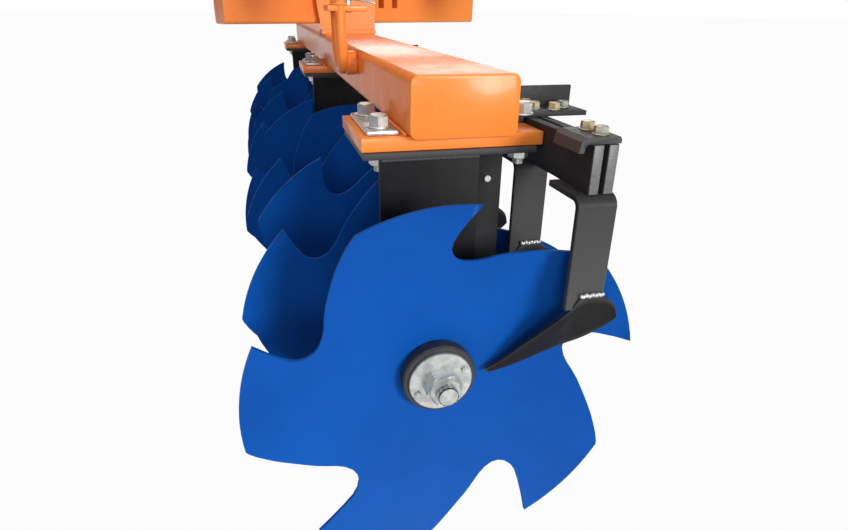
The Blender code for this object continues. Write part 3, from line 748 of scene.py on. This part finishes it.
# ---- standards ----------------------------------------------------------------------------------
def standard_fittings(side, where, mirrored):
    """Housing bolts and grease nipples, and the weld seams under the top plates."""
    body = side + "_gang"
    bolts = bmesh.new()
    for k in range(3):
        y = 0.020 + PITCH * 5 * k
        for i in range(4):
            a = math.radians(45 + 90 * i)
            p = (AXLE_X + 0.064 * math.sin(a), y - 0.0012, AXLE_Z + 0.064 * math.cos(a))
            add_hex(bolts, p, (0, -1, 0), 0.013, 0.008)
        add_round(bolts, (AXLE_X - 0.074, y + 0.03, AXLE_Z + 0.01), (AXLE_X - 0.084, y + 0.03, AXLE_Z + 0.01),
                  0.004, 12, 0.0008)
        add_round(bolts, (AXLE_X + 0.103, y + 0.0138, -0.075), (AXLE_X + 0.103, y + 0.0098, -0.075), 0.006, 16,
                  0.0008)
    smooth(put(bolts, side + "_housing_bolts", "zinc", body, where, mirrored), 30)
    for k in range(3):
        y = 0.020 + PITCH * 5 * k
        bead([(AXLE_X - 0.080, y - 0.001, -0.0325), (AXLE_X + 0.080, y - 0.001, -0.0325)], 0.0038,
             side + "_post_seam_" + str(k + 1), "dark", body, where, mirrored)


# ---- gang beams, clamp plates and hook rods -----------------------------------------------------
def gang_beam(side, where, mirrored):
    """The beam with softly rounded edges, its hanger plates and the pivot pad."""
    bm = bmesh.new()
    round_r = 0.014
    end_r = 0.004
    rings = []
    for y, inset in ((0.0, end_r), (end_r * 0.3, end_r * 0.3), (end_r, 0.0), (BEAM_L - end_r, 0.0),
                     (BEAM_L - end_r * 0.3, end_r * 0.3), (BEAM_L, end_r)):
        ring = []
        for cx, cz, start in ((1, 1, 0), (-1, 1, 90), (-1, 0, 180), (1, 0, 270)):
            mx = cx * (BEAM_W / 2 - round_r)
            mz = BEAM_H - round_r if cz else round_r
            for i in range(9):
                t = math.radians(start + 90 * i / 8)
                r = round_r - inset
                ring.append(bm.verts.new((mx + r * math.cos(t), y, mz + r * math.sin(t))))
        rings.append(ring)
    for a, b in zip(rings[:-1], rings[1:]):
        for i in range(len(a)):
            j = (i + 1) % len(a)
            bm.faces.new((a[i], a[j], b[j], b[i]))
    bm.faces.new(rings[0])
    bm.faces.new(rings[-1][::-1])
    for y in PLATE_Y:
        add_block(bm, (-0.160, y - 0.105, -PLATE_T), (0.144, y + 0.105, PLATE_TOP), 0.0015)
    add_round(bm, (0, PIVOT_Y, BEAM_H - 0.004), (0, PIVOT_Y, BEAM_H + 0.0303), 0.080, 64, 0.002)
    obj = put(bm, side + "_beam_and_plates", "orange", side + "_gang", where, mirrored)
    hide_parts(side + "_gang_beam")
    smooth(obj, 38)


def hook(side, where, mirrored):
    """The bent bar, its lug and its boss."""
    body = side + "_gang"
    path = [(-0.124, 0.472, 0.2045), (-0.124, 0.472, 0.150), (-0.124, 0.472, 0.110), (-0.122, 0.474, 0.078),
            (-0.120, 0.488, 0.060), (-0.120, 0.500, 0.058), (-0.121, 0.514, 0.060), (-0.124, 0.530, 0.078),
            (-0.126, 0.532, 0.110), (-0.126, 0.532, 0.150), (-0.126, 0.532, 0.2045)]
    bar = sweep(path, 0.0120, side + "_hook_bar", "orange", body, where, mirrored)
    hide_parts(side + "_hook_rod")
    bm = bmesh.new()
    add_block(bm, (-0.152, 0.462, 0.1745), (-0.066, 0.545, 0.1870), 0.0030)
    add_round(bm, (-0.116, 0.498, 0.070), (-BEAM_W / 2 - 0.0003, 0.498, 0.070), 0.025, 48, 0.004)
    for y in (0.472, 0.532):
        add_round(bm, (-0.125, y, 0.1868), (-0.125, y, 0.1900), 0.0165, 24, 0.0016)
    smooth(put(bm, side + "_hook_lug", "orange", body, where, mirrored), 35)


# ---- clamp plate seams, hook rod pin and clip, pivot seam ---------------------------------------
def beam_fittings(side, where, mirrored):
    """Clamp plate seams, and the pin and spring clip of the hook rod."""
    body = side + "_gang"
    front = PIVOT_Y - 0.045 - 0.060
    bead([(-0.086, front - 0.031, BEAM_H + 0.002), (0.086, front - 0.031, BEAM_H + 0.002)], 0.0038,
         side + "_clamp_seam", "orange", body, where, mirrored)
    bead([(-0.086, front - 0.0135, BEAM_H + 0.0135), (0.086, front - 0.0135, BEAM_H + 0.0135)], 0.0036,
         side + "_clamp_seam_upper", "orange", body, where, mirrored)
    bm = bmesh.new()
    add_round(bm, (-0.104, 0.497, 0.172), (-0.104, 0.497, 0.203), 0.0075, 24, 0.0012)
    smooth(put(bm, side + "_clip_pin", "zinc", body, where, mirrored), 30)
    clip = [(-0.112, 0.490, 0.1985), (-0.100, 0.484, 0.1990), (-0.088, 0.476, 0.1985),
            (-0.074, 0.470, 0.1960), (-0.060, 0.464, 0.1930), (-0.050, 0.462, 0.1900),
            (-0.058, 0.470, 0.1935), (-0.078, 0.482, 0.1965), (-0.096, 0.498, 0.1990)]
    sweep(clip, 0.0026, side + "_spring_clip", "zinc", body, where, mirrored)
    pad = bmesh.new()
    add_round(pad, (0, PIVOT_Y, BEAM_H + 0.0005), (0, PIVOT_Y, BEAM_H + 0.010), 0.088, 48, 0.006)
    smooth(put(pad, side + "_pivot_seam", "orange", body, where, mirrored), 30)


# ---- frame fittings -----------------------------------------------------------------------------
def frame_fittings():
    """Seams where the frame tubes meet, end plugs, and the hitch pins' collars and linch pins."""
    body = "main_frame"
    sides = [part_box("side_tube_left"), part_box("side_tube_right")]
    crosses = [n for n in frame["nodes"] if "cross_tube" in n]
    for c in sorted(crosses):
        lo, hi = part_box(c)
        for s, (slo, shi) in zip(("left", "right"), sides):
            z = hi[2] + 0.0006
            rect = [(lo[0] + 0.006, slo[1] - 0.001, z), (hi[0] - 0.006, slo[1] - 0.001, z),
                    (hi[0] - 0.006, shi[1] + 0.001, z), (lo[0] + 0.006, shi[1] + 0.001, z)]
            bead(rect[:2], 0.0048, c + "_seam_in_" + s, "orange", body)
            bead(rect[2:], 0.0048, c + "_seam_out_" + s, "orange", body)
    plugs = bmesh.new()
    for lo, hi in sides:
        y = (lo[1] + hi[1]) / 2
        z = (lo[2] + hi[2]) / 2
        add_block(plugs, (lo[0] - 0.004, y - 0.043, z - 0.043), (lo[0] - 0.0002, y + 0.043, z + 0.043),
                  0.0015)
    smooth(put(plugs, "side_tube_plugs", "black", body), 30)
    collars = bmesh.new()
    wires = []
    for node in ("lower_pin_left", "lower_pin_right", "top_link_pin"):
        lo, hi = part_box(node)
        x = (lo[0] + hi[0]) / 2
        z = (lo[2] + hi[2]) / 2
        add_round(collars, (x, lo[1] + 0.001, z), (x, lo[1] + 0.009, z), 0.021, 32, 0.0015)
        wires.append((x, hi[1] - 0.006, z))
    smooth(put(collars, "pin_collars", "zinc", body), 30)
    for i, (x, y, z) in enumerate(wires):
        loop = [(x, y, z + 0.024), (x + 0.012, y + 0.002, z + 0.020), (x + 0.021, y + 0.003, z),
                (x + 0.012, y + 0.002, z - 0.021), (x, y, z - 0.026), (x - 0.012, y + 0.002, z - 0.021),
                (x - 0.021, y + 0.003, z), (x - 0.012, y + 0.002, z + 0.020)]
        sweep(loop + loop[:1], 0.0020, "linch_ring_" + str(i + 1), "zinc", body)


def dress_cad():
    """Give each carried-over CAD node its finished material."""
    for name, obj in frame["nodes"].items():
        if any(word in name for word in ("disc", "scraper", "gang_beam", "hook_rod")):
            continue
        look = "orange"
        if "spools" in name:
            look = "dark"
        elif "pin" in name:
            look = "zinc"
        elif "standard" in name:
            look = "dark"
        for slot in obj.material_slots:
            slot.material = MATS[look]
        if not obj.material_slots:
            obj.data.materials.append(MATS[look])


# ---- stage --------------------------------------------------------------------------------------
def floor():
    """Pale floor that the camera sees as near white, with the object's shadow kept."""
    bm = bmesh.new()
    bmesh.ops.create_grid(bm, x_segments=1, y_segments=1, size=60.0)
    mesh = bpy.data.meshes.new("floor")
    bm.to_mesh(mesh)
    bm.free()
    obj = bpy.data.objects.new("floor", mesh)
    bpy.context.scene.collection.objects.link(obj)
    mat = bpy.data.materials.new("pale_floor")
    mat.use_nodes = True
    tree = mat.node_tree
    bsdf = tree.nodes["Principled BSDF"]
    bsdf.inputs["Base Color"].default_value = (0.50, 0.50, 0.50, 1)
    bsdf.inputs["Roughness"].default_value = 0.9
    bsdf.inputs["Specular IOR Level"].default_value = 0.0
    glow = tree.nodes.new("ShaderNodeEmission")
    glow.inputs["Strength"].default_value = 1.0
    path = tree.nodes.new("ShaderNodeLightPath")
    either = tree.nodes.new("ShaderNodeMath")
    either.operation = "MAXIMUM"
    tree.links.new(path.outputs["Is Camera Ray"], either.inputs[0])
    tree.links.new(path.outputs["Is Glossy Ray"], either.inputs[1])
    part = tree.nodes.new("ShaderNodeMath")
    part.operation = "MULTIPLY"
    part.inputs[1].default_value = 0.965
    tree.links.new(either.outputs[0], part.inputs[0])
    blend = tree.nodes.new("ShaderNodeMixShader")
    tree.links.new(part.outputs[0], blend.inputs["Fac"])
    tree.links.new(bsdf.outputs["BSDF"], blend.inputs[1])
    tree.links.new(glow.outputs["Emission"], blend.inputs[2])
    tree.links.new(blend.outputs["Shader"], tree.nodes["Material Output"].inputs["Surface"])
    mesh.materials.append(mat)


def world():
    """White to the camera, softer as light."""
    w = bpy.data.worlds.new("studio")
    bpy.context.scene.world = w
    w.use_nodes = True
    tree = w.node_tree
    back = tree.nodes["Background"]
    back.inputs["Color"].default_value = (1, 1, 1, 1)
    back.inputs["Strength"].default_value = 0.30
    white = tree.nodes.new("ShaderNodeBackground")
    white.inputs["Color"].default_value = (1, 1, 1, 1)
    white.inputs["Strength"].default_value = 1.0
    path = tree.nodes.new("ShaderNodeLightPath")
    blend = tree.nodes.new("ShaderNodeMixShader")
    tree.links.new(path.outputs["Is Camera Ray"], blend.inputs["Fac"])
    tree.links.new(back.outputs["Background"], blend.inputs[1])
    tree.links.new(white.outputs["Background"], blend.inputs[2])
    tree.links.new(blend.outputs["Shader"], tree.nodes["World Output"].inputs["Surface"])


def lamp(name, place, target, size, power):
    """A soft area lamp aimed at a point."""
    data = bpy.data.lights.new(name, "AREA")
    data.shape = "DISK"
    data.size = size
    data.energy = power
    obj = bpy.data.objects.new(name, data)
    obj.location = place
    obj.rotation_euler = (Vector(target) - Vector(place)).to_track_quat("-Z", "Y").to_euler()
    bpy.context.scene.collection.objects.link(obj)


def camera(where):
    """The camera, standing off the left end of the rear gang and looking down along it."""
    place = Vector((-0.3005, -0.8603, 0.1909))
    yaw = -0.2531
    pitch = -0.4270
    roll = -0.0110
    turn = (Matrix.Rotation(yaw, 3, "Z") @ Matrix.Rotation(pitch, 3, "X")
            @ Matrix.Rotation(roll, 3, "Y"))
    right, ahead, up = turn.col[0], turn.col[1], turn.col[2]
    flat = where.to_3x3()
    axes = Matrix((flat @ right, flat @ up, flat @ -ahead)).transposed()
    data = bpy.data.cameras.new("camera")
    data.lens = 24.69
    data.sensor_width = 36.0
    data.shift_x = 0.0105
    data.shift_y = 0.0039
    data.clip_start = 0.02
    obj = bpy.data.objects.new("camera", data)
    obj.matrix_world = Matrix.Translation(where @ place) @ axes.to_4x4()
    bpy.context.scene.collection.objects.link(obj)
    bpy.context.scene.camera = obj


dress_cad()
fine_disc = disc_master()
for gang in ("rear", "front"):
    place_gang = placing(gang)
    flip = gang == "front"
    discs(gang, place_gang, flip, fine_disc)
    axle_ends(gang, place_gang, flip)
    hanger_fittings(gang, place_gang, flip)
    scraper_set(gang, place_gang, flip)
    scraper_fittings(gang, place_gang, flip)
    standard_fittings(gang, place_gang, flip)
    gang_beam(gang, place_gang, flip)
    hook(gang, place_gang, flip)
    beam_fittings(gang, place_gang, flip)
frame_fittings()
floor()
world()
rear = placing("rear")
camera(rear)
lamp("key", rear @ Vector((2.5, -6.4, 1.55)), rear @ Vector((0, 0.6, 0)), 2.4, 385.0)
lamp("front_fill", rear @ Vector((-1.6, -6.2, 1.1)), rear @ Vector((0, 0.8, 0)), 2.4, 120.0)
lamp("top", (0.4, 0.0, 4.6), (0, 0, 0.5), 4.0, 55.0)
lamp("back", (-5.0, -4.5, 3.5), (0, 0, 0.5), 4.0, 160.0)
bpy.context.scene.view_settings.view_transform = "Standard"
